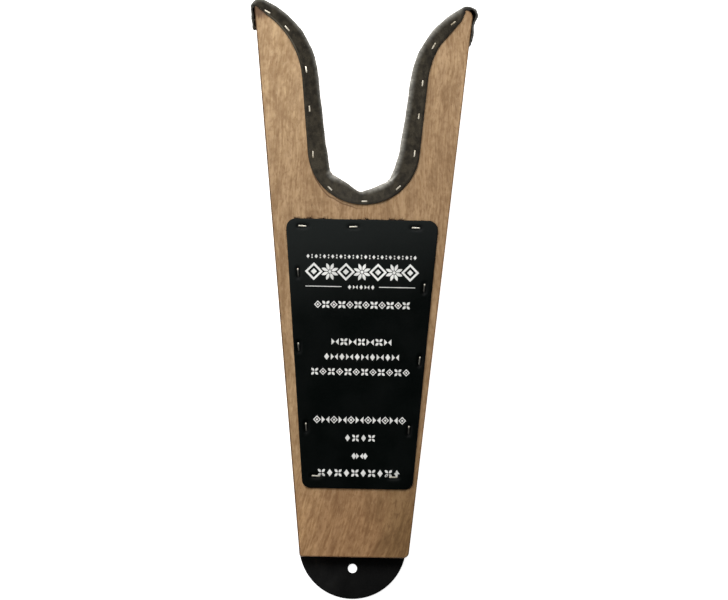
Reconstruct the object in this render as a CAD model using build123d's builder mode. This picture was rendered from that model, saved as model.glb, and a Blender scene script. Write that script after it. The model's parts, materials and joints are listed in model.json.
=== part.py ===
"""Wooden boot jack: a sloping forked board on a cleat, with leather trim held by staples.

Row frame: X across the board, +Y towards the fork, +Z up, standing on the floor at Z = 0.
Board coordinates: x across, s up the underside from the tail edge, n the height above the underside.
"""

import os
from math import asin, atan, atan2, cos, degrees, hypot, radians, sin, tan

from build123d import *

os.makedirs("parts", exist_ok=True)

# ---------------------------------------------------------------- driving dimensions, millimetres
# board
board_thickness = 12.7
tail_width = 75.6
widest_s = 382.0
widest_width = 152.4
tail_corner_radii = (1.5, 4.0)
tip_corner_radius = 5.0
arris_radius = 1.0

# fork cut: its own frame starts at the middle of the bowl, with +Y towards the mouth
fork_offset = 0.9
fork_bowl_s = 278.5
fork_lean = 0.5
bowl_radius = 26.8
bowl_flare = 7.4
straight_end = 56.3
shoulder_radius = 61.4
past_tips = 40.0

# suede strip folded round the fork
suede_thickness = 2.0
fold_radius = 1.4
flange_offset = 1.7
flange_radius = 39.0
flange_centre = 5.4
flange_flare = 5.3
flange_straight_end = 53.0
flange_shoulder_radius = 60.4
left_wrap_end = 364.0
right_wrap_end = 357.0
wrap_top_s = 390.0
wrap_inner_x = 60.0
wrap_edge_gap = 0.8

# cleat and its screws
cleat_depth = 38.0
cleat_width = 110.0
cleat_s = 222.0
cleat_corner_radius = 2.0
screw_spacing = 64.0
screw_length = 31.75
screw_radius = 2.1
screw_head_radius = 4.1
screw_head_depth = 2.6
screw_tip_length = 5.0
screw_tip_radius = 0.3
recess_length = 4.4
recess_width = 1.0
recess_depth = 1.6

# leather panel
panel_offset = 1.5
panel_thickness = 1.6
panel_bottom_s = 47.7
panel_top_s = 234.5
panel_bottom_width = 76.2
panel_top_width = 106.4
panel_top_corner = 6.5
panel_bottom_corner = 6.0

# tail tab
tab_thickness = 3.0
tab_offset = -1.1
tab_radius = 37.5
tab_centre = 7.25
tab_under_length = 60.0
hanging_hole_radius = 3.175
hanging_hole_x = -0.9
hanging_hole_back = 9.1

# staples
staple_width = 6.0
staple_wire_width = 1.0
staple_wire_height = 0.7
staple_leg = 8.0
staple_corner = 0.6
staple_sink = 0.5

# staple line on the strip's flanges, and the staples' distances along it from the bowl's bottom,
# positive to the right
line_radius = 35.3
line_centre = 3.9
line_flare = 5.4
line_straight_end = 54.6
line_shoulder_radius = 57.5
face_staple_steps = [-161, -143, -111, -84, -52, -25, 1, 27, 54, 80, 103, 130, 151]
back_staple_steps = [-152, -127, -97, -68, -38, -12, 14, 41, 67, 92, 117, 141]
wrap_staple_inset = 6.0

# staples of the panel: across the top and bottom, and (s, distance in from the edge) up each side
panel_top_staples = [-41.4, -5.9, 37.4]
panel_top_inset = 5.2
panel_bottom_staples = [-28.8, 24.8]
panel_bottom_inset = 8.4
panel_left_staples = [(197.0, 6.3), (145.5, 3.4), (90.0, 5.2)]
panel_right_staples = [(187.7, 5.6), (137.2, 3.8), (89.0, 6.5)]

# staples of the tab, on the underside
tab_staples_x = 22.0
tab_staple_rows = [14.0, 50.0]
tab_middle_staple_s = 32.0

# ---------------------------------------------------------------- where the board stands
tail_y = -176.05
cleat_front_s = cleat_s + cleat_depth / 2
cleat_reach = hypot(cleat_depth, cleat_front_s)
slope = atan2(cleat_depth, cleat_front_s) - asin(tab_thickness / cleat_reach)
side_taper = atan((widest_width - tail_width) / 2 / widest_s)

underside = Plane(
    origin=(0, tail_y, tab_thickness), x_dir=(1, 0, 0), z_dir=(0, -sin(slope), cos(slope))
)
top_face = underside.offset(board_thickness)
back_face = Plane(origin=underside.origin, x_dir=(-1, 0, 0), z_dir=-underside.z_dir)
fork_place = Location((fork_offset, fork_bowl_s, 0), (0, 0, -fork_lean))
flange_place = Location((flange_offset, fork_bowl_s, 0))


def half_board_width(s):
    """Distance from the board's centre line to its side edge at s."""
    return tail_width / 2 + s * tan(side_taper)


def half_panel_width(s):
    """Distance from the panel's centre line to its side edge at s."""
    share = (s - panel_bottom_s) / (panel_top_s - panel_bottom_s)
    return (panel_bottom_width + share * (panel_top_width - panel_bottom_width)) / 2


# ---------------------------------------------------------------- fork outlines
def half_fork_line(radius, centre, flare, straight, shoulder):
    """Right half of a fork edge: half bowl, flared straight, and shoulder turning outwards."""
    with BuildLine() as line:
        bowl = CenterArc((0, centre), radius, -90, 90 - flare)
        rise = straight - (bowl @ 1).Y
        side = Line(bowl @ 1, bowl @ 1 + (rise * tan(radians(flare)), rise))
        JernArc(side @ 1, side % 1, shoulder, flare - 90)
    return line.wire()


def fork_region(place, radius, centre, flare, straight, shoulder):
    """Everything on the mouth side of a fork edge, moved to its place on the board."""
    half = half_fork_line(radius, centre, flare, straight, shoulder)
    top = half.vertices().sort_by(Axis.Y)[-1]
    far = top.Y + past_tips
    with BuildSketch() as region:
        with BuildLine():
            add(half)
            Polyline((top.X, top.Y), (top.X, far), (0, far))
            mirror(about=Plane.YZ)
        make_face()
    return region.sketch.moved(place)


wood_fork = fork_region(fork_place, bowl_radius, 0, bowl_flare, straight_end, shoulder_radius)
flange_fork = fork_region(
    flange_place,
    flange_radius,
    flange_centre,
    flange_flare,
    flange_straight_end,
    flange_shoulder_radius,
)


# ---------------------------------------------------------------- staples
with BuildPart() as staple:
    with BuildSketch(Plane.XZ):
        with Locations((0, staple_wire_height)):
            crown = Rectangle(
                staple_width, staple_wire_height + staple_leg, align=(Align.CENTER, Align.MAX)
            )
        fillet(crown.vertices().group_by(Axis.Y)[-1], staple_corner)
        Rectangle(
            staple_width - 2 * staple_wire_height,
            staple_leg,
            align=(Align.CENTER, Align.MAX),
            mode=Mode.SUBTRACT,
        )
    extrude(amount=staple_wire_width / 2, both=True)


def staple_group(label, plane, spots):
    """One node of like staples, driven square into a plane, each with its crown along its spot's X."""
    with BuildPart(plane) as group:
        with Locations(spots):
            add(staple.part)
    group.part.label = label
    return group


def spots_round_fork(steps):
    """Spots at the given distances along the staple line, with the crowns along the line."""
    line = half_fork_line(
        line_radius, line_centre, line_flare, line_straight_end, line_shoulder_radius
    )
    spots = []
    for step in steps:
        hand = 1 if step > 0 else -1
        point = line.position_at(abs(step), position_mode=PositionMode.LENGTH)
        heading = line.tangent_at(abs(step), position_mode=PositionMode.LENGTH)
        turn = hand * degrees(atan2(heading.Y, heading.X))
        spots.append(flange_place * Location((hand * point.X, point.Y, 0), (0, 0, turn)))
    return spots


def mirrored(spots):
    """The same spots seen from the back, where X runs the other way."""
    return [
        Location((-spot.position.X, spot.position.Y, 0), (0, 0, -spot.orientation.Z))
        for spot in spots
    ]


def panel_spots():
    """Spots of the panel's staples, a few millimetres in from its edge."""
    spots = [
        Location((panel_offset + x, panel_top_s - panel_top_inset, 0)) for x in panel_top_staples
    ]
    spots += [
        Location((panel_offset + x, panel_bottom_s + panel_bottom_inset, 0))
        for x in panel_bottom_staples
    ]
    lean = degrees(atan2(panel_top_width - panel_bottom_width, 2 * (panel_top_s - panel_bottom_s)))
    for hand, staples in ((-1, panel_left_staples), (1, panel_right_staples)):
        for s, inset in staples:
            x = panel_offset + hand * (half_panel_width(s) - inset)
            spots.append(Location((x, s, 0), (0, 0, 90 - hand * lean)))
    return spots


def side_plane(hand, s):
    """Plane on the strip over the board's side edge, with X up the edge and Z outwards."""
    across = underside.x_dir * hand
    up = underside.y_dir
    outwards = across * cos(side_taper) - up * sin(side_taper)
    along = up * cos(side_taper) + across * sin(side_taper)
    on_edge = underside.from_local_coords((hand * half_board_width(s), s, board_thickness / 2))
    surface = on_edge + outwards * (suede_thickness - staple_sink)
    return Plane(origin=surface, x_dir=along, z_dir=outwards)


lining_face_staples = staple_group(
    "lining_face_staples",
    top_face.offset(suede_thickness - staple_sink),
    spots_round_fork(face_staple_steps),
)
lining_back_staples = staple_group(
    "lining_back_staples",
    back_face.offset(suede_thickness - staple_sink),
    mirrored(spots_round_fork(back_staple_steps)),
)
panel_staples = staple_group(
    "panel_staples", top_face.offset(panel_thickness - staple_sink), panel_spots()
)
tab_staples = staple_group(
    "tab_staples",
    back_face.offset(tab_thickness - staple_sink),
    [
        Location((x - tab_offset, s, 0))
        for s in tab_staple_rows
        for x in (-tab_staples_x, tab_staples_x)
    ]
    + [Location((-tab_offset, tab_middle_staple_s, 0))],
)
with BuildPart() as lining_end_staples:
    for hand, end_s in ((-1, left_wrap_end), (1, right_wrap_end)):
        with Locations(side_plane(hand, end_s + wrap_staple_inset)):
            add(staple.part)
lining_end_staples.part.label = "lining_end_staples"


# ---------------------------------------------------------------- screws
with BuildPart() as screw_blank:
    with BuildSketch(Plane.XZ):
        with BuildLine():
            Polyline(
                (0, 0),
                (screw_head_radius, 0),
                (screw_radius, -screw_head_depth),
                (screw_radius, screw_tip_length - screw_length),
                (screw_tip_radius, -screw_length),
                (0, -screw_length),
                close=True,
            )
        make_face()
    revolve(axis=Axis.Z)

screw_spots = [(-screw_spacing / 2, cleat_s), (screw_spacing / 2, cleat_s)]
with BuildPart(top_face) as screw_holes:
    with Locations(screw_spots):
        add(screw_blank.part)

with BuildPart(top_face) as cleat_screws:
    with Locations(screw_spots):
        add(screw_blank.part)
    with BuildSketch(top_face):
        with Locations(screw_spots):
            Rectangle(recess_length, recess_width)
            Rectangle(recess_width, recess_length)
    extrude(amount=-recess_depth, mode=Mode.SUBTRACT)
cleat_screws.part.label = "cleat_screws"


# ---------------------------------------------------------------- board
with BuildSketch() as board_plan:
    with BuildLine():
        far_s = widest_s + past_tips
        Polyline(
            (0, 0), (half_board_width(0), 0), (half_board_width(far_s), far_s), (0, far_s)
        )
        mirror(about=Plane.YZ)
    make_face()
    add(wood_fork, mode=Mode.SUBTRACT)
    fillet(board_plan.vertices().group_by(Axis.Y)[0].sort_by(Axis.X)[-1], tail_corner_radii[1])
    fillet(board_plan.vertices().group_by(Axis.Y)[0].sort_by(Axis.X)[0], tail_corner_radii[0])
    fillet(board_plan.vertices().sort_by(Axis.Y)[-2:], tip_corner_radius)

with BuildPart() as bare_board:
    with BuildSketch(underside):
        add(board_plan.sketch)
    extrude(amount=board_thickness)
    broad_faces = bare_board.faces().sort_by(SortBy.AREA)[-2:]
    fillet(broad_faces.edges(), arris_radius)

with BuildPart() as board:
    add(bare_board.part)
    for fasteners in (
        screw_holes,
        lining_face_staples,
        lining_back_staples,
        lining_end_staples,
        panel_staples,
        tab_staples,
    ):
        add(fasteners.part, mode=Mode.SUBTRACT)
board.part.label = "board"


# ---------------------------------------------------------------- cleat
with BuildPart() as cleat:
    with BuildSketch(underside):
        with Locations((0, cleat_s)):
            RectangleRounded(cleat_width, cleat_depth, cleat_corner_radius)
    extrude(amount=-2 * cleat_depth)
    split(bisect_by=Plane.XY, keep=Keep.TOP)
    add(screw_holes.part, mode=Mode.SUBTRACT)
cleat.part.label = "cleat"


# ---------------------------------------------------------------- suede strip round the fork
with BuildSketch() as skin_plan:
    add(board_plan.sketch)
    offset(amount=suede_thickness, mode=Mode.REPLACE)

with BuildSketch() as wrap_plan:
    for hand, end_s in ((-1, left_wrap_end), (1, right_wrap_end)):
        with BuildLine():
            inner = hand * wrap_inner_x
            outer = hand * (half_board_width(widest_s) + 2 * suede_thickness)
            Polyline(
                (inner, end_s), (outer, end_s), (outer, wrap_top_s), (inner, wrap_top_s), close=True
            )
        make_face()
    add(skin_plan.sketch, mode=Mode.INTERSECT)
    add(board_plan.sketch, mode=Mode.SUBTRACT)

with BuildPart() as fork_lining:
    with BuildSketch(underside.offset(-suede_thickness)):
        add(skin_plan.sketch)
    extrude(amount=board_thickness + 2 * suede_thickness)
    fillet(fork_lining.faces().sort_by(SortBy.AREA)[-2:].edges(), fold_radius)
    with BuildSketch(underside.offset(-suede_thickness)):
        add(flange_fork)
    extrude(amount=board_thickness + 2 * suede_thickness, mode=Mode.INTERSECT)
    with BuildSketch(underside.offset(wrap_edge_gap)):
        add(wrap_plan.sketch)
    extrude(amount=board_thickness - 2 * wrap_edge_gap)
    add(bare_board.part, mode=Mode.SUBTRACT)
    for fasteners in (lining_face_staples, lining_back_staples, lining_end_staples):
        add(fasteners.part, mode=Mode.SUBTRACT)
fork_lining.part.label = "fork_lining"


# ---------------------------------------------------------------- leather panel
with BuildPart() as panel:
    with BuildSketch(top_face) as panel_plan:
        with BuildLine():
            Polyline(
                (panel_offset - panel_bottom_width / 2, panel_bottom_s),
                (panel_offset + panel_bottom_width / 2, panel_bottom_s),
                (panel_offset + panel_top_width / 2, panel_top_s),
                (panel_offset - panel_top_width / 2, panel_top_s),
                close=True,
            )
        make_face()
        fillet(panel_plan.vertices().group_by(Axis.Y)[-1], panel_top_corner)
        fillet(panel_plan.vertices().group_by(Axis.Y)[0], panel_bottom_corner)
    extrude(amount=panel_thickness)
    add(panel_staples.part, mode=Mode.SUBTRACT)
panel.part.label = "panel"


# ---------------------------------------------------------------- tail tab
tab_end_y = tail_y - (tab_radius - tab_centre)
under_top = underside.from_local_coords((0, tab_under_length, 0))
under_bottom = underside.from_local_coords((0, tab_under_length, -tab_thickness))
with BuildPart() as tail_tab:
    with BuildSketch(Plane.YZ):
        with BuildLine():
            Polyline(
                (tab_end_y, 0),
                (tail_y + tab_thickness * tan(slope / 2), 0),
                (under_bottom.Y, under_bottom.Z),
                (under_top.Y, under_top.Z),
                (tail_y, tab_thickness),
                (tab_end_y, tab_thickness),
                close=True,
            )
        make_face()
    extrude(amount=tab_radius * 2, both=True)
    with BuildSketch(Plane.XY):
        with Locations((tab_offset, tail_y + tab_centre)):
            Circle(tab_radius)
            Rectangle(2 * tab_radius, tab_under_length, align=(Align.CENTER, Align.MIN))
    extrude(amount=tab_under_length, mode=Mode.INTERSECT)
    with Locations((hanging_hole_x, tail_y - hanging_hole_back, tab_thickness)):
        Hole(hanging_hole_radius)
    add(tab_staples.part, mode=Mode.SUBTRACT)
tail_tab.part.label = "tail_tab"


# ---------------------------------------------------------------- output
for piece in (
    board,
    cleat,
    cleat_screws,
    fork_lining,
    lining_face_staples,
    lining_back_staples,
    lining_end_staples,
    panel,
    panel_staples,
    tail_tab,
    tab_staples,
):
    export_step(piece.part, f"parts/{piece.part.label}.step")
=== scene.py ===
"""Looks of the wooden boot jack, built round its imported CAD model.

Row frame, in metres: X across the board, +Y towards the fork, +Z up.
Board coordinates, in metres: x across, s up the board from its tail edge, n above its underside.
Named sizes are in millimetres times MM, and colours are sRGB from 0 to 255.
"""

import json
import math
from types import SimpleNamespace

import bmesh
import bpy
import numpy as np
from mathutils import Matrix, Vector


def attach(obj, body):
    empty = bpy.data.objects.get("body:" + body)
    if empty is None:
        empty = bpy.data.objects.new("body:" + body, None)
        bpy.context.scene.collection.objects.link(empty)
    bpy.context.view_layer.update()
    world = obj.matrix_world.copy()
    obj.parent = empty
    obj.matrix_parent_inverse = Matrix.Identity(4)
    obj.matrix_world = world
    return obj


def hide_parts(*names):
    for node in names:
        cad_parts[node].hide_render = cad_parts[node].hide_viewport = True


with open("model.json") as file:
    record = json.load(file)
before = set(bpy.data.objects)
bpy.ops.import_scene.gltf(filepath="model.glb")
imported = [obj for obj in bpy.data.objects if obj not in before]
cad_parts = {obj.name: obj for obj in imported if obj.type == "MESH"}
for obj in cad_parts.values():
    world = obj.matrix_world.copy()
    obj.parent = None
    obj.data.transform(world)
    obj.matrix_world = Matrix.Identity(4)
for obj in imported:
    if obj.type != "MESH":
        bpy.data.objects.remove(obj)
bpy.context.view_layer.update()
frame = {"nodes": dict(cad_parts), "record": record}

MM = 0.001
random = np.random.default_rng(7)


def mm(*sizes):
    """Millimetres as metres."""
    return tuple(size * MM for size in sizes)


# ---------------------------------------------------------------- board coordinates, from the frame
def mount(name):
    """A mount of the part's record."""
    return next(m for m in frame["record"]["mounts"] if m["name"] == name)


def unit(vectors):
    """Vectors brought to length 1."""
    return vectors / np.maximum(np.linalg.norm(vectors, axis=-1, keepdims=True), 1e-12)


def node_points(name):
    """Corner points of a CAD node's mesh, in the row frame."""
    mesh = frame["nodes"][name].data
    points = np.empty(len(mesh.vertices) * 3, np.float32)
    mesh.vertices.foreach_get("co", points)
    return points.reshape(-1, 3).astype(float)


ACROSS = np.array([1.0, 0.0, 0.0])
OUT = unit(np.array(mount("boot_fork")["axis"]))
UP = np.cross(OUT, ACROSS)
SLOPE = math.atan2(UP[2], UP[1])
TAIL = (node_points("board") @ UP).min()
UNDER = (node_points("board") @ OUT).min()
BOARD = (node_points("board") @ OUT).max() - UNDER
BOARD_LENGTH = (node_points("board") @ UP).max() - TAIL


def place(x, s, n):
    """Row-frame points of board coordinates, given as numbers or arrays."""
    x, s, n = np.broadcast_arrays(np.asarray(x, float), s, n)
    return x[..., None] * ACROSS + (s + TAIL)[..., None] * UP + (n + UNDER)[..., None] * OUT


def board_coordinates(points):
    """Board coordinates (x, s, n) of row-frame points."""
    return np.stack([points @ ACROSS, points @ UP - TAIL, points @ OUT - UNDER], -1)


BOWL_X, BOWL_S, _ = board_coordinates(np.array(mount("boot_fork")["pos_m"]))
LEFT_TIP = (-72 * MM, BOARD_LENGTH - 6 * MM)


# ---------------------------------------------------------------- curves and noise
WELD = 0.002 * MM
FINE_STEP = 0.25 * MM


def welded(node):
    """A CAD node's mesh for editing, its doubled corners joined."""
    bm = bmesh.new()
    bm.from_mesh(frame["nodes"][node].data)
    bmesh.ops.remove_doubles(bm, verts=bm.verts, dist=WELD)
    return bm


def cut_outline(node, height):
    """Longest closed outline, as board (x, s), where a plane at that height cuts a CAD node."""
    bm = welded(node)
    everything = bm.verts[:] + bm.edges[:] + bm.faces[:]
    origin = place(0, 0, height)
    cut = bmesh.ops.bisect_plane(bm, geom=everything, plane_co=origin, plane_no=OUT)
    bm.edges.index_update()
    left = {e.index: e for e in cut["geom_cut"] if isinstance(e, bmesh.types.BMEdge)}
    loops = []
    while left:
        first = left.pop(min(left))
        loop = [first.verts[0], first.verts[1]]
        while True:
            onward = [e for e in loop[-1].link_edges if e.index in left]
            if not onward:
                break
            loop.append(left.pop(onward[0].index).other_vert(loop[-1]))
        loops.append(board_coordinates(np.array([v.co for v in loop]))[:, :2])
    bm.free()
    longest = max(loops, key=lambda p: lengths_along(p)[-1])
    x, s = longest.T
    if (x[:-1] * s[1:] - x[1:] * s[:-1]).sum() > 0:
        longest = longest[::-1]
    return longest


def lengths_along(points):
    """Distance along a polyline of each of its points."""
    return np.r_[0, np.cumsum(np.linalg.norm(np.diff(points, axis=0), axis=1))]


def spread(points, count):
    """That many points evenly spread along a polyline, and their distances along it."""
    along = lengths_along(points)
    spots = np.linspace(0, along[-1], count)
    return np.stack([np.interp(spots, along, values) for values in points.T], -1), spots


def evenly(points, step):
    """A polyline's points again, at equal steps along it."""
    return spread(points, round(lengths_along(points)[-1] / step) + 1)[0]


def begun_at(loop, start):
    """A closed outline in fine steps, from the point with that number."""
    return evenly(np.roll(loop[:-1], -start, axis=0), FINE_STEP)


def side_normals(path):
    """Unit normals on the left of a plane path."""
    tangent = unit(np.gradient(path, axis=0))
    return np.stack([-tangent[:, 1], tangent[:, 0]], -1)


def smoothed(values, amount):
    """Values along an open line, smoothed over an amount given in samples."""
    reach = int(3 * amount)
    weights = np.exp(-0.5 * (np.arange(-reach, reach + 1) / amount) ** 2)
    padded = np.pad(values, (reach, reach), "reflect", reflect_type="odd")
    return np.convolve(padded, weights / weights.sum(), "valid")


def step_up(values, low, high):
    """0 below low, 1 above high and smooth between."""
    share = np.clip((values - low) / (high - low), 0, 1)
    return share * share * (3 - 2 * share)


def bell(distance, width):
    """1 at no distance, falling to 0 beyond about twice the width."""
    return np.exp(-((distance / width) ** 2))


HASH_FACTORS = (73856093, 19349663, 83492791, 2654435761)
HASH_MIXERS = ((15, 2246822519), (13, 3266489917))
LOW_BITS = 0xFFFFFFFF
SEED_SHIFT = 7.31


def noise(points, size, seed):
    """Smooth random values from -1 to 1 at row-frame points, each patch about as large as size."""
    cell = points / size + seed * SEED_SHIFT
    base = np.floor(cell).astype(np.int64)
    part = cell - base
    part = part * part * (3 - 2 * part)
    total = np.zeros(points.shape[:-1])
    for corner in np.ndindex(2, 2, 2):
        mixed = seed * HASH_FACTORS[3]
        for axis in range(3):
            mixed = mixed ^ (base[..., axis] + corner[axis]) * HASH_FACTORS[axis]
        mixed = mixed & LOW_BITS
        for shift, factor in HASH_MIXERS:
            mixed = (mixed ^ (mixed >> shift)) * factor & LOW_BITS
        value = ((mixed ^ (mixed >> 16)) & 0xFFFF) / 32767.5 - 1
        total += value * np.where(corner, part, 1 - part).prod(-1)
    return total


def waves(points, table):
    """Noises added up, each given as a height and a size in millimetres, and a seed."""
    return sum(height * MM * noise(points, size * MM, seed) for height, size, seed in table)


def span_at(outline, s):
    """Left and right limits of a closed outline at s."""
    x_low, x_high = np.full(len(s), np.inf), np.full(len(s), -np.inf)
    close = 1e-9
    for a, b in zip(outline, np.roll(outline, -1, axis=0)):
        low, high = min(a[1], b[1]), max(a[1], b[1])
        hit = (s >= low - close) & (s <= high + close)
        if high - low < close:
            crossings = [a[0], b[0]]
        else:
            crossings = [a[0] + (s - a[1]) / (b[1] - a[1]) * (b[0] - a[0])]
        for x in crossings:
            x_low = np.where(hit, np.minimum(x_low, x), x_low)
            x_high = np.where(hit, np.maximum(x_high, x), x_high)
    return x_low, x_high


def distance_from(outline, points):
    """Distance of plane points from the nearest side of a closed outline."""
    nearest = np.full(len(points), np.inf)
    for a, b in zip(outline, np.roll(outline, -1, axis=0)):
        side = b - a
        length = np.hypot(*side)
        if length < 1e-7:
            continue
        share = np.clip(((points - a) @ side) / length**2, 0, 1)
        nearest = np.minimum(nearest, np.linalg.norm(points - a - share[:, None] * side, axis=1))
    return nearest


def left_side():
    """The board's straight left side, as the slope and the start of x along s."""
    low, high = mm(40, 340)
    x, _ = span_at(cut_outline("board", BOARD / 2), np.array([low, high]))
    slope = (x[1] - x[0]) / (high - low)
    return float(slope), float(x[0] - slope * low)


# ---------------------------------------------------------------- meshes
def grid_quads(rows, columns, closed=False):
    """Corner numbers of the quads between rows of points; closed joins a row's two ends."""
    across = columns if closed else columns - 1
    i, j = np.meshgrid(np.arange(rows - 1), np.arange(across), indexing="ij")
    k = (j + 1) % columns
    quads = [i * columns + j, i * columns + k, (i + 1) * columns + k, (i + 1) * columns + j]
    return np.stack(quads, -1).reshape(-1, 4).tolist()


def shifted(faces, first):
    """Faces whose points are counted from first."""
    return [[first + i for i in face] for face in faces]


def add_object(name, data):
    """A new object of the scene."""
    made = bpy.data.objects.new(name, data)
    bpy.context.scene.collection.objects.link(made)
    return made


def make_piece(name, points, faces, material, sharp_from=None):
    """A smooth-shaded mesh of the object, riding on its one body."""
    mesh = bpy.data.meshes.new(name)
    mesh.from_pydata(np.asarray(points).reshape(-1, 3).tolist(), [], faces)
    bm = bmesh.new()
    bm.from_mesh(mesh)
    bmesh.ops.recalc_face_normals(bm, faces=bm.faces)
    bm.to_mesh(mesh)
    bm.free()
    mesh.shade_smooth()
    if sharp_from:
        mesh.set_sharp_from_angle(angle=sharp_from)
    mesh.materials.append(material)
    piece = add_object(name, mesh)
    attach(piece, "root")
    return piece


def paint(piece, name, values):
    """Keeps a value for each mesh point where the piece's material can read it."""
    attribute = piece.data.attributes.new(name, "FLOAT", "POINT")
    attribute.data.foreach_set("value", np.asarray(values, np.float32).ravel())


def surface_normals(grid):
    """Unit normals of a grid of points."""
    return unit(np.cross(np.gradient(grid, axis=0), np.gradient(grid, axis=1)))


# ---------------------------------------------------------------- materials
def colour(red, green, blue):
    """Linear colour of an sRGB one."""
    values = [c / 255 for c in (red, green, blue)]
    linear = [c / 12.92 if c <= 0.04045 else ((c + 0.055) / 1.055) ** 2.4 for c in values]
    return (*linear, 1.0)


class Shader:
    """One material's nodes, made by short calls."""

    def __init__(self, name):
        self.material = bpy.data.materials.new(name)
        self.material.use_nodes = True
        self.tree = self.material.node_tree
        self.surface = self.tree.nodes["Principled BSDF"]
        self.coordinates = self.node("ShaderNodeTexCoord").outputs["Object"]
        shift, turn = (0, -TAIL, -UNDER), (-SLOPE, 0, 0)
        inputs = {"Vector": self.coordinates, "Location": shift, "Rotation": turn}
        # board coordinates of the shaded point
        self.spot = self.node("ShaderNodeMapping", inputs).outputs[0]

    def join(self, target, values):
        """Gives a node's inputs their numbers, or links them to other nodes' outputs."""
        for key, value in values.items():
            if isinstance(value, bpy.types.NodeSocket):
                self.tree.links.new(value, target.inputs[key])
            else:
                target.inputs[key].default_value = value

    def node(self, kind, inputs=None, **settings):
        made = self.tree.nodes.new(kind)
        for key, value in settings.items():
            setattr(made, key, value)
        self.join(made, inputs or {})
        return made

    def set(self, **values):
        """Principled inputs, with underscores for the spaces in their names."""
        self.join(self.surface, {key.replace("_", " "): value for key, value in values.items()})

    def parts(self):
        """The shaded point's x, s and n."""
        return list(self.node("ShaderNodeSeparateXYZ", {0: self.spot}).outputs)

    def moved(self, **shift):
        """The shaded point's board coordinates with X, Y or Z shifted."""
        offset = self.node("ShaderNodeCombineXYZ", shift).outputs[0]
        return self.vector_math("ADD", self.spot, offset)

    def vector_math(self, operation, a, b):
        made = self.node("ShaderNodeVectorMath", {0: a, 1: b}, operation=operation)
        single = operation in ("DOT_PRODUCT", "DISTANCE")
        return made.outputs["Value" if single else "Vector"]

    def math(self, operation, *values):
        return self.node("ShaderNodeMath", dict(enumerate(values)), operation=operation).outputs[0]

    def times(self, first, *others):
        """The product of two or more values."""
        for other in others:
            first = self.math("MULTIPLY", first, other)
        return first

    def plus(self, first, *others):
        """The sum of two or more values."""
        for other in others:
            first = self.math("ADD", first, other)
        return first

    def swing(self, value, size):
        """A noise's distance from its middle value, times a size."""
        return self.times(self.math("SUBTRACT", value, 0.5), size)

    def noise(self, size, detail=3.0, roughness=0.55, vector=None):
        """Noise with patches of a size, or of a size for each axis, in board coordinates."""
        vector = vector or self.spot
        if isinstance(size, tuple):
            vector, size = self.vector_math("DIVIDE", vector, size), 1.0
        inputs = {"Vector": vector, "Scale": 1 / size, "Detail": detail, "Roughness": roughness}
        return self.node("ShaderNodeTexNoise", inputs).outputs["Fac"]

    def pebbles(self, size):
        """Distance from the edges of rounded cells of a size."""
        inputs = {"Vector": self.spot, "Scale": 1 / size}
        made = self.node("ShaderNodeTexVoronoi", inputs, feature="DISTANCE_TO_EDGE")
        return made.outputs["Distance"]

    def between(self, value, low, high, to_low=0.0, to_high=1.0):
        """The value rescaled smoothly from one range to another, and kept inside it."""
        inputs = {"Value": value, 1: low, 2: high, 3: to_low, 4: to_high}
        return self.node("ShaderNodeMapRange", inputs, interpolation_type="SMOOTHSTEP").outputs[0]

    def near(self, value, middle, inner, outer, strength):
        """The strength where the value is within inner of the middle, falling to 0 at outer."""
        away = self.math("ABSOLUTE", self.math("SUBTRACT", value, middle))
        return self.between(away, inner, outer, strength, 0.0)

    def mix(self, share, a, b, blend="MIX"):
        """Two colours mixed; each is another node's output or three numbers."""
        a, b = (colour(*c) if isinstance(c, tuple) else c for c in (a, b))
        made = self.node("ShaderNodeMix", {0: share, 6: a, 7: b}, data_type="RGBA", blend_type=blend)
        return made.outputs[2]

    def lay(self, tone, over, value, low, high, share_low=0.0, share_high=1.0):
        """The tone with another over it, by a share that follows a value between two limits."""
        return self.mix(self.between(value, low, high, share_low, share_high), tone, over)

    def attribute(self, name):
        return self.node("ShaderNodeAttribute", attribute_name=name).outputs["Fac"]

    def facing(self):
        """How squarely the surface faces along the board's thickness, from 0 to 1."""
        normal = self.node("ShaderNodeNewGeometry").outputs["Normal"]
        return self.math("ABSOLUTE", self.vector_math("DOT_PRODUCT", normal, tuple(OUT)))

    def bump(self, height, distance, strength=1.0, below=None):
        inputs = {"Height": height, "Distance": distance, "Strength": strength}
        if below:
            inputs["Normal"] = below
        return self.node("ShaderNodeBump", inputs).outputs[0]


# the face's patterns: size across, along and through the board in millimetres, and detail
FACE_PATTERNS = {
    "streaks": ((1.3, 11, 6), 4.0),
    "bands": ((8, 70, 20), 2.0),
    "patches": ((7, 24, 16), 4.0),
    "mottle": ((2.2, 4, 4), 3.0),
    "flecks": ((0.55, 2.4, 2), 2.0),
    "strokes": ((2.4, 17, 9), 3.0),
    "lines": ((6, 150, 30), 0.0),
}
# tones laid over the face: pattern, tone, the pattern's limits and the shares at the two of them
FACE_LAYERS = [
    ("bands", (200, 168, 129), 0.50, 0.64, 0.0, 0.45),
    ("bands", (150, 117, 82), 0.36, 0.48, 0.35, 0.0),
    ("patches", (142, 110, 73), 0.44, 0.66, 0.0, 0.50),
    ("mottle", (136, 102, 66), 0.46, 0.70, 0.0, 0.50),
    ("mottle", (206, 177, 138), 0.30, 0.44, 0.30, 0.0),
    ("flecks", (110, 80, 52), 0.60, 0.76, 0.0, 0.50),
]
PLIES = 9


def grain_space(shader, s):
    """Board coordinates that sway slowly across the grain, and lean with it in the tail."""
    drift = shader.noise(mm(45, 90, 45), detail=1.0)
    low = shader.math("SMOOTH_MIN", s, 75 * MM, 50 * MM)
    return shader.moved(X=shader.plus(shader.swing(drift, 16 * MM), shader.times(low, -0.30)))


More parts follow.
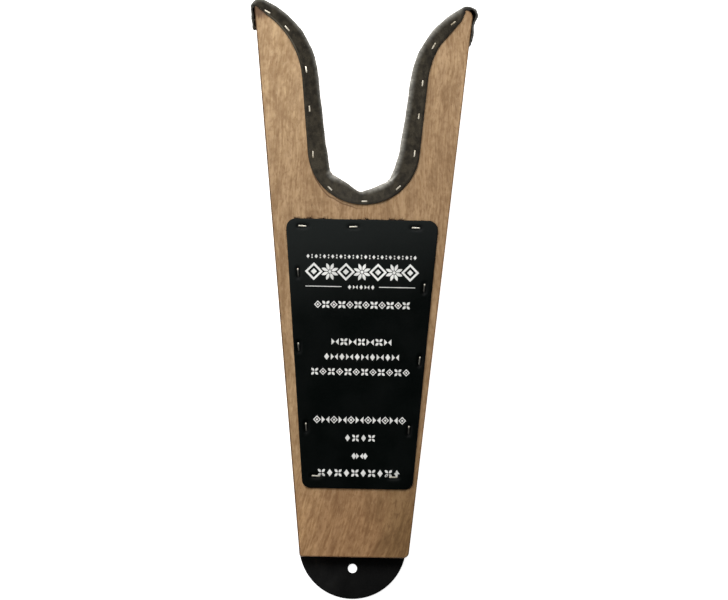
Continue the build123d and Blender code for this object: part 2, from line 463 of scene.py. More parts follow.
def face_tone(shader, patterns, tail):
    """Fine short grain, soft darker strokes, stronger in the tail, and a few long pale lines."""
    streaks = shader.between(patterns["streaks"], 0.32, 0.68)
    tone = shader.mix(streaks, (168, 136, 97), (195, 163, 122))
    for name, over, *limits in FACE_LAYERS:
        tone = shader.lay(tone, over, patterns[name], *limits)
    depth = shader.between(tail, 0.0, 1.0, 0.25, 0.38)
    strokes = shader.times(shader.between(patterns["strokes"], 0.50, 0.66), depth)
    tone = shader.mix(strokes, tone, (132, 98, 62))
    return shader.mix(shader.near(patterns["lines"], 0.5, 0.0, 0.012, 0.4), tone, (205, 174, 134))


def ply_tone(shader, n):
    """The cut plies, with dark glue between them and specks of end grain."""
    ply = shader.math("PINGPONG", shader.math("DIVIDE", n, BOARD / PLIES), 1.0)
    specks = shader.noise(mm(0.5, 0.5, 0.9), detail=3.0)
    tone = shader.lay((158, 120, 80), (206, 172, 128), ply, 0.40, 0.60)
    tone = shader.mix(shader.near(ply, 0.5, 0.0, 0.06, 0.6), tone, (112, 80, 52))
    return shader.lay(tone, (118, 86, 58), specks, 0.45, 0.75, 0.0, 0.45)


def darker_left_arris(shader, tone, patterns, x, s, level):
    """The left arris, darker along its whole length."""
    slope, start = left_side()
    inward = shader.math("SUBTRACT", x, shader.times(s, slope))
    inward = shader.math("SUBTRACT", inward, start)
    inward = shader.plus(inward, shader.swing(patterns["mottle"], 1.6 * MM))
    arris_darkening = shader.times(shader.between(inward, 0.3 * MM, 1.3 * MM, 0.8, 0.0), level)
    return shader.mix(arris_darkening, tone, (92, 64, 42), "MULTIPLY")


def painted_falloff_and_smudge(shader, tone, patterns, x, s, tail):
    """Painted shade, as light falling off from the upper left: darker in the middle and on the right,
    less so up the arms, darker in the tail; greyest at the tail's corner, where a darker olive smudge
    adds to it.
    """
    sideways = shader.plus(x, shader.swing(patterns["patches"], 24 * MM))
    middle = shader.between(sideways, -42 * MM, -12 * MM)
    depth = shader.times(middle, shader.between(s, 240 * MM, 380 * MM, 0.30, 0.19))
    corner = shader.times(shader.between(sideways, 5 * MM, 35 * MM, 0.0, 0.26), tail)
    halfway = shader.near(s, 215 * MM, 40 * MM, 130 * MM, 0.23)
    left = shader.times(halfway, shader.math("SUBTRACT", 1.0, middle))
    # painted shade: the face darker towards the middle, the right and the tail, and a smudge at the
    # tail's corner
    tone = shader.mix(shader.plus(depth, corner, left), tone, (150, 114, 70), "MULTIPLY")
    tone = shader.mix(corner, tone, (140, 190, 135), "MULTIPLY")
    return shader.mix(tail, tone, (255, 243, 232), "MULTIPLY")


def dark_line_radius():
    """Distance of the dark line by the lining from the middle of the bowl."""
    ring = cut_outline("fork_lining", BOARD + 1.0 * MM) - [BOWL_X, BOWL_S]
    below = ring[(ring[:, 1] < -20 * MM) & (ring[:, 0] < 0)]
    return np.hypot(below[:, 0], below[:, 1]).max() + 1.1 * MM


def dark_line_by_lining(shader, tone, patterns, x, s):
    """A thin dark line just outside the lower left of the lining."""
    away = shader.vector_math("DISTANCE", shader.spot, (BOWL_X, BOWL_S, BOARD))
    away = shader.plus(away, shader.swing(patterns["bands"], 3 * MM))
    line = shader.near(away, dark_line_radius(), 0.2 * MM, 0.7 * MM, 0.75)
    left = shader.between(x, BOWL_X - 10 * MM, BOWL_X + 6 * MM, 1.0, 0.0)
    low = shader.between(s, BOWL_S - 16 * MM, BOWL_S - 4 * MM, 1.0, 0.0)
    return shader.mix(shader.times(line, left, low), tone, (92, 62, 38))


def darker_left_tip(shader, tone, patterns):
    """A darker patch on the left tip."""
    away = shader.vector_math("DISTANCE", shader.spot, (*LEFT_TIP, BOARD))
    away = shader.plus(away, shader.swing(patterns["streaks"], 6 * MM))
    tip_darkening = shader.between(away, 2 * MM, 8 * MM, 0.75, 0.0)
    return shader.mix(tip_darkening, tone, (104, 66, 40), "MULTIPLY")


def board_wood():
    """Birch-faced plywood: grain on the faces, plies on the sides, dark arrises, painted shade across
    the face and a few darker marks.
    """
    shader = Shader("board_wood")
    x, s, n = shader.parts()
    tail = shader.between(s, 20 * MM, 90 * MM, 1.0, 0.0)
    grain = grain_space(shader, s)
    patterns = {}
    for name, (size, detail) in FACE_PATTERNS.items():
        patterns[name] = shader.noise(mm(*size), detail, vector=grain)
    facing = shader.facing()
    side = shader.between(facing, 0.55, 0.9, 1.0, 0.0)
    tone = shader.mix(side, face_tone(shader, patterns, tail), ply_tone(shader, n))
    level = shader.between(facing, 0.15, 0.5)
    arris = shader.times(shader.between(facing, 0.9, 0.99, 1.0, 0.0), level, 0.55)
    tone = shader.mix(arris, tone, (112, 78, 50))
    tone = darker_left_arris(shader, tone, patterns, x, s, level)
    tone = painted_falloff_and_smudge(shader, tone, patterns, x, s, tail)
    tone = dark_line_by_lining(shader, tone, patterns, x, s)
    tone = darker_left_tip(shader, tone, patterns)
    rough = shader.between(patterns["streaks"], 0.3, 0.7, 0.62, 0.50)
    relief = shader.bump(patterns["streaks"], 0.07 * MM, 0.5)
    relief = shader.bump(patterns["flecks"], 0.05 * MM, 0.6, relief)
    shader.set(Base_Color=tone, Roughness=rough, Normal=relief, Specular_IOR_Level=0.3)
    return shader.material


def cleat_wood():
    """Planed softwood: growth rings, straight on the long sides and curved on the ends."""
    shader = Shader("cleat_wood")
    sway = shader.noise(mm(60, 18, 18), detail=2.0)
    from_heart = shader.plus(shader.times(sway, 3 * MM), 46 * MM)
    ringed = shader.moved(Y=shader.times(sway, 4 * MM), Z=from_heart)
    flat = shader.vector_math("MULTIPLY", ringed, (0.02, 1, 1))
    rings = shader.node(
        "ShaderNodeTexWave",
        {"Vector": flat, "Scale": 62.0, "Distortion": 1.2, "Detail": 2.0, "Detail Scale": 2.0},
        wave_type="RINGS",
        rings_direction="X",
        wave_profile="SAW",
    ).outputs["Fac"]
    fibre = shader.noise(mm(22, 0.8, 0.8), detail=4.0)
    tone = shader.lay((222, 186, 136), (178, 128, 78), rings, 0.35, 0.95)
    tone = shader.lay(tone, (168, 124, 80), fibre, 0.45, 0.75, 0.0, 0.5)
    relief = shader.bump(fibre, 0.10 * MM, 0.5)
    relief = shader.bump(rings, 0.08 * MM, 0.5, relief)
    shader.set(Base_Color=tone, Roughness=shader.between(rings, 0.2, 0.9, 0.68, 0.55), Normal=relief)
    return shader.material


def smooth_leather(name, tone, worn_tone, edge_tone, roughness, sheen_from=None, shade_right=False):
    """Finished grain leather: pebble, pores, rub marks and raw cut edges, with a painted sheen
    lightening the upper end or painted shade on the right side, and painted shade darker still in the
    dents round the staples."""
    shader = Shader(name)
    x, s, _ = shader.parts()
    pebble = shader.pebbles(0.85 * MM)
    pores = shader.noise(0.35 * MM, detail=2.0)
    cloud = shader.noise(22 * MM, detail=4.0)
    rubs = shader.noise(mm(3, 0.35, 3), detail=2.0)
    fibre = shader.noise(0.3 * MM, detail=3.0)
    raw = shader.lay(edge_tone, tone, fibre, 0.35, 0.65)
    tone = shader.lay(tone, worn_tone, cloud, 0.35, 0.7)
    if sheen_from:
        # painted sheen: the upper end lighter, as if catching the light from above
        upper = shader.math("SUBTRACT", s, shader.times(x, 0.25))
        tone = shader.lay(tone, (27, 30, 29), upper, sheen_from, sheen_from + 75 * MM)
    if shade_right:
        # painted shade: the right side darker, away from the light
        tone = shader.lay(tone, (4, 4, 4), x, -36 * MM, 6 * MM, 0.0, 0.85)
    tone = shader.lay(tone, raw, shader.facing(), 0.25, 0.6, 1.0, 0.0)
    # painted shade in the dents round the staples
    tone = shader.mix(shader.attribute("dent_shade"), tone, (2, 2, 2))
    rough = shader.between(cloud, 0.3, 0.7, roughness - 0.05, roughness + 0.07)
    rough = shader.plus(rough, shader.between(rubs, 0.6, 0.8, 0.0, 0.10))
    relief = shader.bump(shader.between(pebble, 0.0, 0.28), 0.05 * MM, 0.55)
    relief = shader.bump(pores, 0.03 * MM, 0.4, relief)
    shader.set(Base_Color=tone, Roughness=rough, Normal=relief, Specular_IOR_Level=0.05)
    return shader.material


def suede():
    """Dark split leather: mottled nap, pale folds that are rubbed and painted with sheen, painted
    shade on the ends and cut edge, raw cut edges, a soft sheen.
    """
    shader = Shader("suede")
    nap = shader.noise(0.7 * MM, detail=4.0, roughness=0.7)
    fuzz = shader.noise(0.22 * MM, detail=2.0)
    brushed = shader.noise(mm(3.6, 5, 4), detail=4.0)
    tone = shader.lay((42, 38, 31), (73, 67, 55), brushed, 0.32, 0.68)
    tone = shader.lay(tone, (32, 29, 24), nap, 0.3, 0.7, 0.0, 0.6)
    # painted shade on the strip's ends, its cut edge and its inner face
    tone = shader.mix(shader.attribute("suede_shade"), tone, (14, 12, 10))
    # pale folds: rubbed wear and painted sheen
    wear_and_sheen = shader.times(shader.attribute("wear_and_sheen"), shader.between(nap, 0.2, 0.65, 0.55, 1.0))
    tone = shader.mix(wear_and_sheen, tone, (190, 187, 178))
    raw = shader.times(shader.attribute("raw"), shader.between(nap, 0.25, 0.6, 0.5, 1.0))
    tone = shader.mix(raw, tone, (88, 82, 70))
    relief = shader.bump(nap, 0.22 * MM, 0.6)
    relief = shader.bump(fuzz, 0.10 * MM, 0.6, relief)
    rough = shader.between(nap, 0.2, 0.8, 0.98, 0.86)
    shader.set(Base_Color=tone, Roughness=rough, Normal=relief, Specular_IOR_Level=0.15)
    shader.set(Sheen_Weight=0.25, Sheen_Roughness=0.45, Sheen_Tint=colour(170, 168, 160))
    return shader.material


def wire_steel(name, tone, dull_tone, roughness, cloud_size=1.6 * MM, with_shade=False):
    """Drawn and plated steel with faint die lines and a cloudy coating."""
    shader = Shader(name)
    cloud = shader.noise(cloud_size, detail=3.0)
    lines = shader.noise(0.12 * MM, detail=2.0)
    tone = shader.lay(tone, dull_tone, cloud, 0.3, 0.7)
    if with_shade:
        # painted shade on staples that lie along the board, which catch little light
        tone = shader.mix(shader.attribute("staple_shade"), tone, (58, 57, 54))
    rough = shader.between(cloud, 0.3, 0.7, roughness - 0.06, roughness + 0.1)
    relief = shader.bump(lines, 0.02 * MM, 0.4)
    shader.set(Base_Color=tone, Metallic=0.85, Roughness=rough, Normal=relief)
    return shader.material


def ink():
    """Pale screen print, a little worn and uneven."""
    shader = Shader("print_ink")
    grain = shader.noise(0.5 * MM, detail=4.0)
    cloud = shader.noise(9 * MM, detail=3.0)
    tone = shader.lay((236, 236, 232), (214, 214, 210), cloud, 0.3, 0.7)
    tone = shader.lay(tone, (120, 120, 118), grain, 0.60, 0.78, 0.0, 0.45)
    rough = shader.between(grain, 0.3, 0.7, 0.5, 0.66)
    shader.set(Base_Color=tone, Roughness=rough, Normal=shader.bump(grain, 0.02 * MM, 0.4))
    return shader.material


def fibre_material(name, tone, tip_tone):
    """Loose leather fibres."""
    shader = Shader(name)
    cloud = shader.noise(1.2 * MM, detail=2.0)
    tone = shader.lay(tone, tip_tone, cloud, 0.35, 0.65)
    rough = shader.between(cloud, 0.3, 0.7, 0.8, 0.95)
    shader.set(Base_Color=tone, Roughness=rough, Specular_IOR_Level=0.2)
    return shader.material


# ---------------------------------------------------------------- staples
STAPLE_WIDTH = 6.0 * MM
WIRE_WIDTH = 1.0 * MM
WIRE_HEIGHT = 0.7 * MM
WIRE_EDGE = 0.16 * MM
STAPLE_LEG = 7.6 * MM
STAPLE_KNEE = 2.5 * MM
STAPLE_BEND = 0.42 * MM
CROWN_RISE = 0.05 * MM
# how far above and below a staple's crown its pull on the leather reaches
STAPLE_PULL = 4 * MM


def islands(node):
    """The separate solids of a CAD node, each as its corner points, in order of their places."""
    bm = welded(node)
    seen, found = set(), []
    for vert in bm.verts:
        if vert.index in seen:
            continue
        seen.add(vert.index)
        group, todo = [], [vert]
        while todo:
            current = todo.pop()
            group.append(tuple(current.co))
            for edge in current.link_edges:
                other = edge.other_vert(current)
                if other.index not in seen:
                    seen.add(other.index)
                    todo.append(other)
        found.append(np.array(group))
    bm.free()
    return sorted(found, key=lambda p: tuple(p.mean(0).round(5)))


def staple_places(node, outward):
    """Top middle of each staple's crown, with the crown's direction and the outward one."""
    places = []
    for points in islands(node):
        middle = (points.min(0) + points.max(0)) / 2
        axes = np.linalg.svd(points - points.mean(0))[2]
        spans = [np.ptp(points @ axis) for axis in axes]
        leg = axes[int(np.argmax(spans))]
        crown = axes[int(np.argsort(spans)[1])]
        guess = outward if outward is not None else ACROSS * np.sign(middle[0])
        leg = leg * np.sign(leg @ guess)
        top = leg * (points @ leg).max()
        for axis in (crown, np.cross(leg, crown)):
            top = top + axis * ((points @ axis).max() + (points @ axis).min()) / 2
        places.append((top, crown * np.sign(crown @ (ACROSS + 0.3 * UP)), leg))
    return places


def wire_ring():
    """Cross-section of the flat wire, with rounded edges, as (across, outward)."""
    ring = []
    for turn in range(4):
        middle_a = (WIRE_WIDTH / 2 - WIRE_EDGE) * (1 if turn in (0, 3) else -1)
        middle_b = (WIRE_HEIGHT / 2 - WIRE_EDGE) * (1 if turn in (0, 1) else -1)
        for a in np.linspace(0, math.pi / 2, 4) + turn * math.pi / 2:
            ring.append((middle_a + WIRE_EDGE * math.cos(a), middle_b + WIRE_EDGE * math.sin(a)))
    return np.array(ring)


def staple_shape():
    """Points and faces of one staple: the wire swept up one leg, over the crown and down again."""
    half = STAPLE_WIDTH / 2 - WIRE_HEIGHT / 2
    left = [(-half, -STAPLE_LEG), (-half, -STAPLE_KNEE)]
    for a in np.linspace(0, math.pi / 2, 6):
        left.append((-half + STAPLE_BEND * (1 - math.cos(a)), -STAPLE_BEND * (1 - math.sin(a))))
    stops = np.linspace(-half * 0.7, half * 0.7, 5)
    crown = [(x, CROWN_RISE * (1 - (x / half) ** 2)) for x in stops]
    path = np.array(left + crown + [(-x, z) for x, z in reversed(left)])
    path[:, 1] -= WIRE_HEIGHT / 2
    side = side_normals(path)
    ring = wire_ring()
    points = np.empty((len(path), len(ring), 3))
    points[..., 0] = path[:, None, 0] + side[:, None, 0] * ring[None, :, 1]
    points[..., 2] = path[:, None, 1] + side[:, None, 1] * ring[None, :, 1]
    points[..., 1] = ring[None, :, 0]
    end = list(range(len(ring)))
    faces = grid_quads(len(path), len(ring), closed=True)
    faces += [end] + shifted([end], (len(path) - 1) * len(ring))
    return points.reshape(-1, 3), faces


def staples(node, outward, material, sink=0.0):
    """Rounded wire staples in place of a CAD node's plain ones, each a little crooked."""
    shape, shape_faces = staple_shape()
    # painted shade on a staple that lies along the board, all but its upper end, which is left lit
    shade_share = 1 - 0.8 * step_up(shape[:, 0], 1.5 * MM, 2.5 * MM)
    points, faces, staple_shade = [], [], []
    places = staple_places(node, outward)
    for centre, crown, out in places:
        turn, tilt = random.normal(0, 0.035), random.normal(0, 0.03)
        crown = crown * math.cos(turn) + np.cross(out, crown) * math.sin(turn)
        crown = crown * math.cos(tilt) + out * math.sin(tilt)
        out = np.cross(crown, np.cross(out, crown))
        axes = np.stack([crown, np.cross(out, crown), out])
        faces += shifted(shape_faces, len(points) * len(shape))
        points.append(shape @ axes + centre - out * (sink + random.uniform(0, 0.12 * MM)))
        staple_shade.append((crown @ UP) ** 4 * shade_share * random.uniform(0.75, 1.0))
    points = np.concatenate(points)
    piece = make_piece(node + "_wire", points, faces, material, math.radians(50))
    paint(piece, "staple_shade", np.concatenate(staple_shade))
    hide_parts(node)
    return places


def near_staples(points, places, length, width):
    """How near points lie to any of some staples: 1 on a crown, falling to 0 around it."""
    total = np.zeros(points.shape[:-1])
    for centre, crown, out in places:
        away = points - centre
        along = away @ crown
        across = away @ np.cross(out, crown)
        value = np.exp(-((np.abs(along) / length) ** 4) - (across / width) ** 2)
        total = np.maximum(total, np.where(np.abs(away @ out) < STAPLE_PULL, value, 0))
    return total


# ---------------------------------------------------------------- suede strip round the fork
SUEDE = 1.9 * MM
STRIP_STEP = 0.5 * MM
STRIP_LEFT_END = 366 * MM
STRIP_RIGHT_END = 357 * MM
STRIP_COLUMNS = 76
STRIP_INNER = 14
FOLD_RADIUS = 2.7 * MM
# past the flange's ends the strip is a ribbon on the tip's outer side, inset from the board's faces
RIBBON_INSET = 0.6 * MM
RIBBON_WALL = 1.2 * MM
# how far the ribbon's outer face stands off each tip, in millimetres, at drops from the board's end
LEFT_RIBBON = [(0, 2.2), (5, 2.4), (9, 2.6), (13, 2.7), (18, 2.5)]
RIGHT_RIBBON = [(0, 2.6), (5, 3.1), (9, 2.1), (14, 1.3), (17, 1.9), (20, 2.4), (24, 1.3)]
# how far the strip stands away from the two tips' outer corners, and over what length
CORNER_GAPS = [1.4, 2.0]
CORNER_SPREAD = 3.0 * math.sqrt(2) * MM
# how narrow the flange gets at the right tip's corner, as a share, and over what length it does
CORNER_WIDTH = 0.15
CORNER_LENGTH = 13 * MM
# where the flange's free edge meets the outer side of the left tip
LEFT_FREE_END = np.array([-75.0, 381.5]) * MM
# where the strip creases at the bottom of the fork, as (x, s) from the bowl's middle, how high each
# crease stands, and how far the strip bridges off the wood between each two of them
CREASES = [(-27.9, 7.0), (-21.0, -11.5), (-1.3, -24.9), (19.4, -17.6), (25.7, 2.0)]
CREASE_RIDGES = [0.15, 0.75, 0.25, 0.7, 0.15]
BRIDGES = [1.0, 3.2, 1.8, 1.1]
# a place where the strip swells and one where its flange is wider, and their size
SWELLING = np.array([-24.5, 340.0]) * MM
WIDE_SPOT = np.array([52.0, 372.0]) * MM
SPOT_SIZE = 9 * MM
# a slanting fold line: how far it runs along the strip for each step inwards, and its own length then
FOLD_LINE_RUN, FOLD_LINE_LENGTH = 2.5, 2.7
# unevenness of the suede: height and size in millimetres, and seed
SUEDE_WAVES = [(0.24, 9, 11), (0.13, 3.2, 12), (0.07, 1.1, 13), (0.035, 0.55, 14)]
# rubbed wear and painted sheen along the fold: where from, how far past it in millimetres, strength,
# breadth in millimetres
FOLD_WEAR_AND_SHEEN = [
    ("start", 0, 0.45, 3.2),
    ("first bend", -75, 0.4, 2.4),
    ("first bend", -35, 0.2, 1.6),
    ("first bend", -3, 0.2, 1.6),
    ("first bend", 0, 1.0, 4.6),
    ("first bend", 5, 0.85, 4.8),
    ("first bend", 12, 0.3, 2.6),
    ("bottom", -3, 0.2, 1.6),
    ("bottom", 0, 0.4, 2.2),
    ("bottom", 5, 0.7, 3.2),
    ("second bend", -5, 1.0, 3.8),
    ("second bend", 0, 1.0, 4.2),
    ("second bend", 4, 0.6, 3.4),
    ("second bend", 15, 0.65, 4.0),
    ("second bend", 100, 0.6, 3.8),
    ("end", 0, 0.8, 4.4),
]


def wood_edge():
    """The fork's edge on the wood, from the strip's left end to its right one, and its normals."""
    loop = cut_outline("board", BOARD * 0.28)
    ring = begun_at(loop, int(np.argmin(np.hypot(loop[:-1, 0], loop[:-1, 1]))))
    first = int(np.argmax(ring[:, 1] >= STRIP_LEFT_END))
    last = len(ring) - int(np.argmax(ring[::-1, 1] >= STRIP_RIGHT_END))
    edge = evenly(ring[first:last], STRIP_STEP)
    edge = np.stack([smoothed(values, 2.5) for values in edge.T], -1)
    return edge, side_normals(edge)


def flange_reach(edge, normals):
    """How far the flange reaches in over the face from each point of the edge, and which way."""
    loop = cut_outline("fork_lining", BOARD + 1.0 * MM)
    ring = begun_at(loop, int(np.argmax(loop[:-1, 1])))
    nearest = np.array([np.argmin(((edge - p) ** 2).sum(1)) for p in ring])
    free = ring[((ring - edge[nearest]) * normals[nearest]).sum(1) < -0.4 * MM]
    if free[0, 0] > free[-1, 0]:
        free = free[::-1]
    free = evenly(np.concatenate([[LEFT_FREE_END], free]), FINE_STEP)
    distances = np.linalg.norm(edge[:, None] - free[None], axis=2)
    goal = np.maximum.accumulate(distances.argmin(1)).astype(float)
    goal = np.clip(smoothed(goal, 6.0), 0, len(free) - 1)
    ruling = np.stack([np.interp(goal, np.arange(len(free)), v) for v in free.T], -1) - edge
    width = np.linalg.norm(ruling, axis=1)
    width += 1.1 * MM * bell(np.linalg.norm(edge - WIDE_SPOT, axis=1), SPOT_SIZE)
    number = np.arange(len(edge))
    width[(number < distances[:, 0].argmin()) | (number > distances[:, -1].argmin())] = 0
    along = lengths_along(edge)
    corner = along[int(np.argmax(edge @ [1.0, 1.0]))]
    width *= CORNER_WIDTH + (1 - CORNER_WIDTH) * step_up(corner - along, 0, CORNER_LENGTH)
    share = step_up(width, 0, 3 * MM)[:, None]
    direction = unit(unit(ruling) * share - normals * (1 - share))
    return np.where(width > 0.2 * MM, width, 0), direction


def stand_off(edge, along):
    """How far the strip bridges off the wood between creases, and how far along each crease is."""
    spots = []
    for x, s in CREASES:
        corner = np.array([BOWL_X + x * MM, BOWL_S + s * MM])
        spots.append(along[int(np.argmin(((edge - corner) ** 2).sum(1)))])
    gap = np.zeros(len(edge))
    for low, high, bridge in zip(spots, spots[1:], BRIDGES):
        share = (along - (low + high) / 2) / ((high - low) / 2)
        gap = np.maximum(gap, np.where(np.abs(share) < 1, bridge * MM * (1 - share**2), 0))
    return smoothed(gap, 1.2), spots


def corner_gap(edge, along):
    """How far the strip stands away from the wood round the outer corners of the two tips."""
    gap = np.zeros(len(edge))
    for side, size in zip((-1, 1), CORNER_GAPS):
        corner = along[int(np.argmax(edge @ [side, 1.0]))]
        gap += size * MM * bell(along - corner, CORNER_SPREAD)
    return gap


def strip_thickness(edge, reach):
    """How far the strip's outer face stands off the wood, down the tips' outer sides too."""
    thick = np.full(len(edge), SUEDE)
    for side, ribbon in ((-1, LEFT_RIBBON), (1, RIGHT_RIBBON)):
        drops, values = np.transpose(ribbon)
        wanted = np.interp((BOARD_LENGTH - edge[:, 1]) / MM, drops, values) * MM
        thick = np.where((reach == 0) & (edge[:, 0] * side > 0), wanted, thick)
    return np.where(reach > 0, SUEDE, smoothed(thick, 3.0))


def strip_stations():
    """Stations along the fork's edge, each with the sizes of the strip's cross-section there."""
    edge, normals = wood_edge()
    along = lengths_along(edge)
    reach, direction = flange_reach(edge, normals)
    gap, creases = stand_off(edge, along)
    line = np.stack([along, 0 * along, 0 * along], -1)
    off = smoothed(strip_thickness(edge, reach), 2.0) + gap + corner_gap(edge, along)
    off += 0.3 * MM * noise(line, 22 * MM, 4)
    off += 0.7 * MM * bell(np.linalg.norm(edge - SWELLING, axis=1), SPOT_SIZE)
    wall = RIBBON_WALL + (SUEDE * 0.9 - RIBBON_WALL) * step_up(reach, 0, 4 * MM)
    limit = smoothed(np.where(reach > 0.5 * MM, reach, wall - off), 2.0)
    limit = np.maximum(limit, 0.3 * MM - off)
    folded = step_up(reach, 0, 5 * MM)
    wobble = 0.25 * MM * noise(line, 7 * MM, 3)
    top = (BOARD - RIBBON_INSET) * (1 - folded) + (BOARD + SUEDE) * folded + wobble
    bottom = RIBBON_INSET * (1 - folded) - SUEDE * folded + wobble
    radius = FOLD_RADIUS + 0.45 * gap
    return SimpleNamespace(
        edge=edge,
        normals=normals,
        along=along,
        direction=direction,
        creases=creases,
        flange=step_up(reach, 1 * MM, 4 * MM)[:, None],
        fold_at=np.maximum(limit + off - 0.2 * radius, 0)[:, None],
        sections=np.stack([limit, np.maximum(limit, -0.05 * MM), off, top, bottom, radius, wall], -1),
    )


def strip_profile(limit, under, off, top, bottom, radius, wall):
    """Outer and inner lines of the strip's section, as (distance in from the edge, height)."""
    bend = min(radius, off + limit)
    turn = np.linspace(0, math.pi / 2, 12)
    arc_d = bend - off - bend * np.sin(turn)
    drop = bend * (1 - np.cos(turn))
    flat = np.linspace(limit, bend - off, 30)[:-1]
    flat_under = np.linspace(bend - off, under, 30)[1:]
    high, low = top - drop, (bottom + drop)[::-1]
    outer_d = np.r_[flat, arc_d, arc_d[::-1], flat_under]
    outer_n = np.r_[np.full(len(flat), top), high, low, np.full(len(flat_under), bottom)]
    inner_top = min(BOARD, top - 0.2 * MM)
    inner_bottom = max(0, bottom + wall)
    back = -max(off - wall, 0)
    mouth, mouth_under = (max(min(d, 0.0), back) for d in (limit, under))
    inner_d = [under, mouth_under, back, back, mouth, limit]
    inner_n = [inner_bottom] * 3 + [inner_top] * 3
    return np.stack([outer_d, outer_n], -1), np.stack([inner_d, inner_n], -1)


def strip_grids(stations):
    """Points of the strip's outer and inner faces, and the outer ones' distance from a free edge."""
    outer, inner, from_free = [], [], []
    for section in stations.sections:
        outer_line, inner_line = strip_profile(*section)
        points, spots = spread(outer_line, STRIP_COLUMNS)
        outer.append(points)
        inner.append(spread(inner_line, STRIP_INNER)[0])
        from_free.append(np.minimum(spots, spots[-1] - spots))

    def stand(plan):
        d, n = np.moveaxis(np.array(plan), -1, 0)
        over = np.maximum(d, 0)[..., None] * stations.direction[:, None]
        beyond = np.minimum(d, 0)[..., None] * -stations.normals[:, None]
        flat = stations.edge[:, None] + over + beyond
        return place(flat[..., 0], flat[..., 1], n)

    return stand(outer), stand(inner), np.array(from_free)


def suede_relief(stations, outer, from_free, flat_places, end_places):
    """How far the outer face rises: dimples at the staples, lips round them, creases, crumples."""
    dimple = near_staples(outer, flat_places + end_places, 2.25 * MM, 1.2 * MM)
    lip = near_staples(outer, flat_places + end_places, 3.6 * MM, 2.6 * MM) - dimple
    lift = 0.30 * MM * np.maximum(lip, 0) - 0.80 * MM * dimple + waves(outer, SUEDE_WAVES)
    on_fold = bell(from_free - stations.fold_at, 3.4 * MM)
    for spot, ridge in zip(stations.creases, CREASE_RIDGES):
        away = np.abs(stations.along[:, None] - spot)
        crest, valleys = bell(away, 0.9 * MM), bell(away - 2.1 * MM, 1.1 * MM)
        lift += ridge * MM * on_fold * (crest - 0.5 * valleys)
    return lift + (1 - stations.flange) * 0.45 * MM * noise(outer, 2.6 * MM, 16)


def edge_curl(stations, outer, from_free, flat_places):
    """How far the cut edge curls up between the staples."""
    held = near_staples(outer, flat_places, 8 * MM, 9 * MM)
    curl = (1 - held) * (0.35 + 0.35 * noise(outer, 12 * MM, 15)) * MM
    return curl * (1 - step_up(from_free, 0, 3.5 * MM)) * stations.flange


def fold_wear_and_sheen(stations, outer, from_free):
    """How pale the suede is along its fold, rubbed and with painted sheen, and where a pale fold
    line, rubbed and painted as a highlight, crosses the flange.
    """
    along, flange = stations.along, stations.flange
    _, first, bottom, second, _ = stations.creases
    marks = {"start": 0, "first bend": first, "bottom": bottom, "second bend": second}
    marks["end"] = along[-1]
    stops = [marks[mark] + past * MM for mark, past, _, _ in FOLD_WEAR_AND_SHEEN]
    strength = smoothed(np.interp(along, stops, [row[2] for row in FOLD_WEAR_AND_SHEEN]), 4.0)[:, None]
    breadth = smoothed(np.interp(along, stops, [row[3] for row in FOLD_WEAR_AND_SHEEN]), 4.0)[:, None] * MM
    past_fold = from_free - stations.fold_at
    share = np.clip((past_fold + breadth) / (breadth + 0.5 * MM), 0, 1) ** 1.7
    share *= (1 - step_up(past_fold, 0.5 * MM, 13 * MM)) ** 2
    mottle = 0.5 + 0.5 * noise(outer, 4 * MM, 17)
    brushed = np.stack([along[:, None] + 0 * from_free, 0.15 * from_free, 0 * from_free], -1)
    fuzz = 1 + 0.2 * noise(outer, 1.3 * MM, 18) + 0.4 * noise(brushed, 0.9 * MM, 19)
    wear_and_sheen = share * strength * (0.65 + 0.5 * mottle) * fuzz * (0.3 + 0.7 * flange)
    wear_and_sheen[:, STRIP_COLUMNS // 2 :] *= 0.4
    wear_and_sheen += 0.03 * flange * bell(along - bottom, 24 * MM)[:, None] * (0.6 + 0.8 * mottle)
    # a pale fold line, rubbed and painted as a highlight, slants from the second bend out on to the
    # flange
    away = (along[:, None] - second + FOLD_LINE_RUN * past_fold) / FOLD_LINE_LENGTH
    line = bell(away, 0.7 * MM) * (1 - step_up(-past_fold, 0, 4 * MM))
    return np.clip(wear_and_sheen + 0.9 * line * (past_fold < 3 * MM), 0, 1)


def painted_suede_shade(stations, from_free):
    """Painted shade on the suede: its ends and its cut edge, and more over the left arm."""
    edge = stations.edge
    rim = 0.5 * (1 - step_up(from_free, 0.2 * MM, 2.2 * MM))
    left_arm = (edge[:, 0] < 0) * step_up(edge[:, 1], BOWL_S, BOWL_S + 40 * MM)
    suede_shade = np.maximum(1 - stations.flange, rim)
    return 0.85 * np.maximum(suede_shade, 0.09 + 0.25 * left_arm[:, None])


def raw_edge(stations, from_free):
    """How raw and pale the cut edge is, most at the left tip."""
    edge = stations.edge
    frayed = 0.12 + 0.88 * step_up(edge[:, 1], 345 * MM, 358 * MM) * (edge[:, 0] < 0)
    rim = step_up(from_free, 0.1 * MM, 0.5 * MM) * (1 - step_up(from_free, 0.8 * MM, 1.5 * MM))
    return rim * stations.flange * frayed[:, None]


